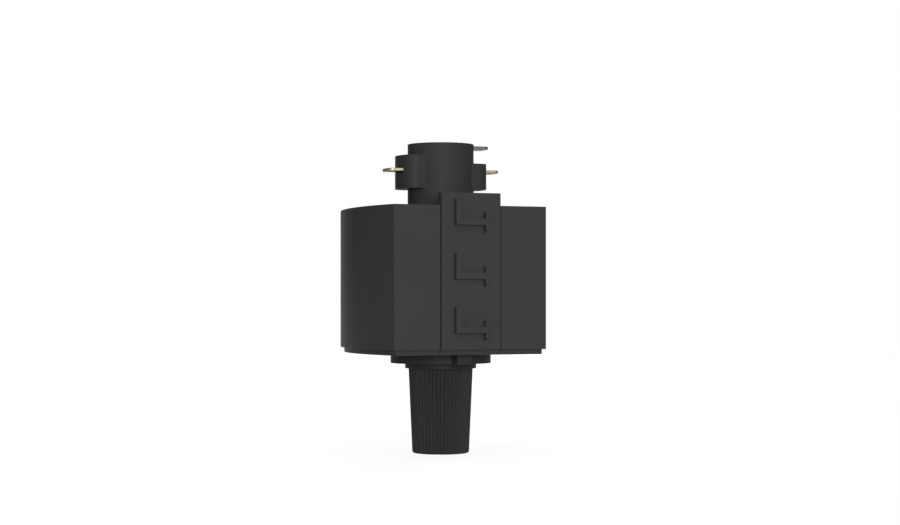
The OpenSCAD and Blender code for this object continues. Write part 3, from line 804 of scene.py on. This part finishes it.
nut_low, nut_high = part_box("gland_nut")
nut_top_radius = nut_high.x
nut_neck_top = nut_low.z + NUT_NECK_LENGTH
nut_profile = [(nut_top_radius - NUT_TOP_CHAMFER, nut_high.z, NUT_TOP_ZONE),
               (nut_top_radius, nut_high.z - NUT_TOP_CHAMFER, 1),
               (NUT_END_RADIUS + NUT_TAPER_GAIN, nut_low.z + 2 * NUT_EDGE_RADIUS, 1)]
nut_profile += rounded_edge(NUT_END_RADIUS, nut_low.z, NUT_EDGE_RADIUS, NUT_EDGE_ZONE)
nut_profile += [(CORD_RADIUS + CORD_CHAMFER, nut_low.z, 0),
                (CORD_RADIUS, nut_low.z + CORD_CHAMFER, 0),
                (CORD_RADIUS, nut_neck_top, 0),
                (NUT_BORE - CONE_DROP, nut_neck_top, 0),
                (NUT_BORE, nut_neck_top + CONE_HEIGHT, 0),
                (NUT_BORE, nut_high.z - NUT_BORE_CHAMFER, 0),
                (NUT_BORE + NUT_BORE_CHAMFER, nut_high.z, 0)]
nut = turned("gland_nut_ribbed", nut_profile, NUT_RIBS * NUT_TURN_STEPS)
cut_grooves(nut, NUT_RIBS, 0, NUT_RIB_DEPTH, NUT_LAND, finishes["black_nylon"])
stand_for(nut, "gland_nut")

# %% [markdown]
# ## Gland body
# The gland body has a collar, a nipple that screws into the swivel and a spigot that the nut screws onto.
# Its threads are moulded, coarse and rounded. The CAD solid leaves them plain, so here the body is turned
# again from the same sizes with enough rings for a winding groove.

# %% Threaded gland body
THREAD_PITCH = 1.5 * MM
THREAD_DEPTH = 0.42 * MM
THREAD_LAND = -0.8
THREAD_STEPS = 8
GLAND_SEGMENTS = 72
GLAND_CHAMFER = 0.12 * MM
COLLAR_HEIGHT = 1.2 * MM
NIPPLE_RADIUS = 4.25 * MM
NIPPLE_LENGTH = 4 * MM
SPIGOT_RADIUS = 5.3 * MM
RING_GROOVE_IN = 5.955 * MM
RING_GROOVE_OUT = 6.855 * MM
RING_GROOVE_DEPTH = 0.8 * MM


def threaded_run(radius, start, end):
    """Profile points along a threaded length, with the groove fading in and out at its ends."""
    steps = round(abs(end - start) / THREAD_PITCH * THREAD_STEPS)
    run = []
    for i in range(steps + 1):
        share = i / steps
        fade = min(1, share * steps / THREAD_STEPS, (1 - share) * steps / THREAD_STEPS)
        run.append((radius, start + (end - start) * share, fade))
    return run


body_low, body_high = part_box("gland_body")
collar_radius = body_high.x
collar_top = body_high.z - NIPPLE_LENGTH
collar_low = collar_top - COLLAR_HEIGHT
ring_floor = collar_top - RING_GROOVE_DEPTH
soft = GLAND_CHAMFER
gland_profile = [(CORD_RADIUS + soft, body_high.z, 0), (NIPPLE_RADIUS - 2 * soft, body_high.z, 0)]
gland_profile += threaded_run(NIPPLE_RADIUS, body_high.z - 2 * soft, collar_top + soft)
gland_profile += [(NIPPLE_RADIUS, collar_top, 0), (RING_GROOVE_IN, collar_top, 0),
                  (RING_GROOVE_IN, ring_floor, 0), (RING_GROOVE_OUT, ring_floor, 0),
                  (RING_GROOVE_OUT, collar_top, 0), (collar_radius - soft, collar_top, 0),
                  (collar_radius, collar_top - soft, 0), (collar_radius, collar_low + soft, 0),
                  (collar_radius - soft, collar_low, 0), (SPIGOT_RADIUS, collar_low, 0)]
gland_profile += threaded_run(SPIGOT_RADIUS, collar_low - soft, body_low.z + 2 * soft)
gland_profile += [(SPIGOT_RADIUS - 2 * soft, body_low.z, 0), (CORD_RADIUS + soft, body_low.z, 0),
                  (CORD_RADIUS, body_low.z + soft, 0), (CORD_RADIUS, body_high.z - soft, 0)]
gland = turned("gland_body_threaded", gland_profile, GLAND_SEGMENTS)
cut_grooves(gland, 1, THREAD_PITCH, THREAD_DEPTH, THREAD_LAND, finishes["black_nylon"])
stand_for(gland, "gland_body")

# %% [markdown]
# ## Screws
# Four screws hold the cover, two hold the terminal block and three clamp the wires. All have a low round
# head with a crossed recess and a fine thread. One screw of each size is turned and threaded, and a
# second tree cuts its recess and repeats it on the points where the CAD solids stand. The two bars of the
# cross pass through each other, so the Boolean node has to be told that its cutter intersects itself:
# without that it gives nothing.

# %% Screw tree
screw_tree, screw_names = new_shape_tree(
    "Screw_set", ("Slot Width", "Slot Length", "Slot Depth", "Head Height"),
    [("Screw", "NodeSocketObject"), ("Finish", "NodeSocketMaterial")])
given = add(screw_tree, "NodeGroupInput").outputs
one_screw = add(screw_tree, "GeometryNodeObjectInfo", {"Object": given["Screw"]})
deep = add(screw_tree, "ShaderNodeMath", {0: given["Slot Depth"], 1: 2}, operation="MULTIPLY")
head_face = add(screw_tree, "ShaderNodeMath", {0: given["Head Height"], 1: -1}, operation="MULTIPLY")
at_head = add(screw_tree, "ShaderNodeCombineXYZ", {"Z": head_face.outputs[0]})
bars = add(screw_tree, "GeometryNodeJoinGeometry")
for first, second in (("Slot Length", "Slot Width"), ("Slot Width", "Slot Length")):
    size = add(screw_tree, "ShaderNodeCombineXYZ",
               {"X": given[first], "Y": given[second], "Z": deep.outputs[0]})
    bar = add(screw_tree, "GeometryNodeMeshCube", {"Size": size.outputs[0]})
    placed = add(screw_tree, "GeometryNodeTransform",
                 {"Geometry": bar.outputs[0], "Translation": at_head.outputs[0]})
    screw_tree.links.new(placed.outputs[0], bars.inputs[0])
recessed = add(screw_tree, "GeometryNodeMeshBoolean",
               {"Mesh 1": one_screw.outputs["Geometry"], "Mesh 2": bars.outputs[0],
                "Self Intersection": True},
               operation="DIFFERENCE", solver="EXACT")
points = add(screw_tree, "GeometryNodeMeshToPoints", {"Mesh": given["Geometry"]})
repeated = add(screw_tree, "GeometryNodeInstanceOnPoints",
               {"Points": points.outputs[0], "Instance": recessed.outputs[0]})
realized = add(screw_tree, "GeometryNodeRealizeInstances", {0: repeated.outputs[0]})
finished = add(screw_tree, "GeometryNodeSetMaterial",
               {"Geometry": realized.outputs[0], "Material": given["Finish"]})
add(screw_tree, "NodeGroupOutput", {0: finished.outputs[0]})

# %% [markdown]
# ### One screw of each size
# A screw's head is below and its tip above, as it is driven from underneath. Its seat, the plane under
# the head, is the blank's zero height, so a set needs only the seat's height and the places in plan,
# which come from the CAD solids' box.

# %% Screw blanks and sets
SCREW_PITCH = 0.7 * MM
SCREW_THREAD_DEPTH = 0.24 * MM
SCREW_LAND = -0.9
SCREW_STEPS = 6
SCREW_SEGMENTS = 28
SCREW_TIP = 0.5 * MM
TIP_SHARE = 0.6
HEAD_EDGE = 0.25 * MM
HEAD_CHAMFER = 0.08 * MM
SLOT_WIDTH_SHARE = 1 / 3
SLOT_LENGTH_SHARE = 1.2
SLOT_DEPTH_SHARE = 1 / 2


def screw_blank(name, shank_radius, head_radius, head_height, length, finish):
    """One turned and threaded screw, without its recess."""
    shank = length - SCREW_TIP
    steps = round(shank / SCREW_PITCH * SCREW_STEPS)
    profile = [(0, length, 0), (shank_radius * TIP_SHARE, length, 0)]
    for i in range(steps + 1):
        fade = min(1, (steps - i) / SCREW_STEPS)
        profile.append((shank_radius, shank * (1 - i / steps), fade))
    profile += [(head_radius - HEAD_CHAMFER, 0, 0), (head_radius, -HEAD_CHAMFER, 0)]
    profile += rounded_edge(head_radius, -head_height, HEAD_EDGE)
    profile.append((0, -head_height, 0))
    blank = turned(name, profile, SCREW_SEGMENTS, closed=False)
    cut_grooves(blank, 1, SCREW_PITCH, SCREW_THREAD_DEPTH, SCREW_LAND, finish)
    return blank


def screw_set(node, places, shank_radius, head_radius, head_height):
    """All screws of one CAD node, at their places in plan."""
    low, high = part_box(node)
    seat = low.z + head_height
    finish = finishes[slot_of[node]]
    blank = screw_blank(node + "_blank", shank_radius, head_radius, head_height, high.z - seat, finish)
    mesh = bpy.data.meshes.new(node + "_threaded")
    mesh.from_pydata([(x, y, seat) for x, y in places], [], [])
    screws = new_object(node + "_threaded", mesh)
    made_plain(screws, screw_tree, screw_names, {
        "Slot Width": head_radius * SLOT_WIDTH_SHARE, "Slot Length": head_radius * SLOT_LENGTH_SHARE,
        "Slot Depth": head_height * SLOT_DEPTH_SHARE, "Head Height": head_height,
        "Screw": blank, "Finish": finish})
    bpy.data.objects.remove(blank)
    stand_for(screws, node)


print("screw thread pitch in mm:", round(SCREW_PITCH / MM, 2))

# %% [markdown]
# ### Three sets of screws
# The cover's screws stand at its four corners, the block's in its two ears, and the terminals' in one
# row. The outermost head touches the CAD solids' box, so the box less the head's radius gives the places.

# %% Three sets of screws
COVER_SCREW = {"shank_radius": 1.1 * MM, "head_radius": 2 * MM, "head_height": 1.3 * MM}
BLOCK_SCREW = {"shank_radius": 1 * MM, "head_radius": 1.9 * MM, "head_height": 1.4 * MM}
TERMINAL_SCREW = {"shank_radius": 1.25 * MM, "head_radius": 2.2 * MM, "head_height": 1.7 * MM}
EARTH_TERMINAL_X = 0.5 * MM

cover_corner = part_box("cover_screws")[1]
cover_x = cover_corner.x - COVER_SCREW["head_radius"]
cover_y = cover_corner.y - COVER_SCREW["head_radius"]
corners = [(i * cover_x, j * cover_y) for i in (-1, 1) for j in (-1, 1)]
screw_set("cover_screws", corners, **COVER_SCREW)
ear_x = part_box("block_screws")[1].x - BLOCK_SCREW["head_radius"]
screw_set("block_screws", [(-ear_x, 0), (ear_x, 0)], **BLOCK_SCREW)
foot_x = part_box("terminal_screws")[1].x - TERMINAL_SCREW["head_radius"]
screw_set("terminal_screws", [(-foot_x, 0), (EARTH_TERMINAL_X, 0), (foot_x, 0)], **TERMINAL_SCREW)

# %% [markdown]
# ## Slide spring
# A small compression spring pushes the slide up. It is wound from round wire with a closed turn at each
# end. A spring follows a path, so a tree bends a straight line into the coil: the height along the wire
# rises slowly in the end turns and evenly between them.

# %% Spring tree
SPRING_TURNS = 7
CLOSED_TURNS = 2
CLOSED_RISE_IN_WIRE_RADII = 2.12
POINTS_PER_TURN = 36
WIRE_SIDES = 12

spring_tree, spring_names = new_shape_tree(
    "Coil_spring", ("Turns", "Coil Radius", "Wire Radius", "Height", "Centre Y", "Base Z"),
    [("Finish", "NodeSocketMaterial")])
given = add(spring_tree, "NodeGroupInput").outputs
line = add(spring_tree, "GeometryNodeCurvePrimitiveLine")
fine_line = add(spring_tree, "GeometryNodeResampleCurve",
                {"Curve": line.outputs[0], "Count": (SPRING_TURNS + CLOSED_TURNS) * POINTS_PER_TURN + 1})
share = add(spring_tree, "GeometryNodeSplineParameter").outputs["Factor"]
all_turns = add(spring_tree, "ShaderNodeMath", {0: given["Turns"], 1: CLOSED_TURNS}, operation="ADD")
turn = add(spring_tree, "ShaderNodeMath", {0: share, 1: all_turns.outputs[0]}, operation="MULTIPLY")
end_rise = add(spring_tree, "ShaderNodeMath", {0: given["Wire Radius"], 1: CLOSED_RISE_IN_WIRE_RADII},
               operation="MULTIPLY")
rise = add(spring_tree, "ShaderNodeMath", {0: end_rise.outputs[0], 1: -CLOSED_TURNS, 2: given["Height"]},
           operation="MULTIPLY_ADD")
last_turn = add(spring_tree, "ShaderNodeMath", {0: given["Turns"], 1: 1}, operation="ADD")
first_end = add(spring_tree, "ShaderNodeMapRange", {"Value": turn.outputs[0], "To Max": end_rise.outputs[0]})
working = add(spring_tree, "ShaderNodeMapRange",
              {"Value": turn.outputs[0], "From Min": 1, "From Max": last_turn.outputs[0],
               "To Max": rise.outputs[0]})
last_end = add(spring_tree, "ShaderNodeMapRange",
               {"Value": turn.outputs[0], "From Min": last_turn.outputs[0],
                "From Max": all_turns.outputs[0], "To Max": end_rise.outputs[0]})
low_part = add(spring_tree, "ShaderNodeMath", {0: first_end.outputs[0], 1: working.outputs[0]},
               operation="ADD")
lifted = add(spring_tree, "ShaderNodeMath", {0: low_part.outputs[0], 1: last_end.outputs[0]},
             operation="ADD")
height = add(spring_tree, "ShaderNodeMath", {0: lifted.outputs[0], 1: given["Base Z"]}, operation="ADD")
angle = add(spring_tree, "ShaderNodeMath", {0: turn.outputs[0], 1: math.tau}, operation="MULTIPLY")
cosine = add(spring_tree, "ShaderNodeMath", {0: angle.outputs[0]}, operation="COSINE")
sine = add(spring_tree, "ShaderNodeMath", {0: angle.outputs[0]}, operation="SINE")
coil_x = add(spring_tree, "ShaderNodeMath", {0: cosine.outputs[0], 1: given["Coil Radius"]},
             operation="MULTIPLY")
coil_y = add(spring_tree, "ShaderNodeMath",
             {0: sine.outputs[0], 1: given["Coil Radius"], 2: given["Centre Y"]}, operation="MULTIPLY_ADD")
coil_place = add(spring_tree, "ShaderNodeCombineXYZ",
                 {"X": coil_x.outputs[0], "Y": coil_y.outputs[0], "Z": height.outputs[0]})
coil = add(spring_tree, "GeometryNodeSetPosition",
           {"Geometry": fine_line.outputs[0], "Position": coil_place.outputs[0]})
wire = add(spring_tree, "GeometryNodeCurvePrimitiveCircle",
           {"Resolution": WIRE_SIDES, "Radius": given["Wire Radius"]})
wound = add(spring_tree, "GeometryNodeCurveToMesh",
            {"Curve": coil.outputs[0], "Profile Curve": wire.outputs[0], "Fill Caps": True})
smooth = add(spring_tree, "GeometryNodeSetShadeSmooth", {"Geometry": wound.outputs[0]})
realized = add(spring_tree, "GeometryNodeRealizeInstances", {0: smooth.outputs[0]})
finished = add(spring_tree, "GeometryNodeSetMaterial",
               {"Geometry": realized.outputs[0], "Material": given["Finish"]})
add(spring_tree, "NodeGroupOutput", {0: finished.outputs[0]})

# %% [markdown]
# ### Winding the spring
# The coil fills the box of the CAD solid. When the slide is pulled down, the real spring gets shorter.

# %% Wound spring
SPRING_WIRE = 0.25 * MM

spring_low, spring_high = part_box("slide_spring")
spring_y = (spring_low.y + spring_high.y) / 2
spring = new_object("slide_spring_wound", bpy.data.meshes.new("slide_spring_wound"))
made_plain(spring, spring_tree, spring_names, {
    "Turns": float(SPRING_TURNS), "Coil Radius": spring_high.x - SPRING_WIRE, "Wire Radius": SPRING_WIRE,
    "Height": spring_high.z - spring_low.z - 2 * SPRING_WIRE, "Centre Y": spring_y,
    "Base Z": spring_low.z + SPRING_WIRE, "Finish": finishes["zinc_steel"]})
stand_for(spring, "slide_spring")
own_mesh(spring)
print("spring from", round(spring_low.z / MM, 2), "to", round(spring_high.z / MM, 2), "mm")
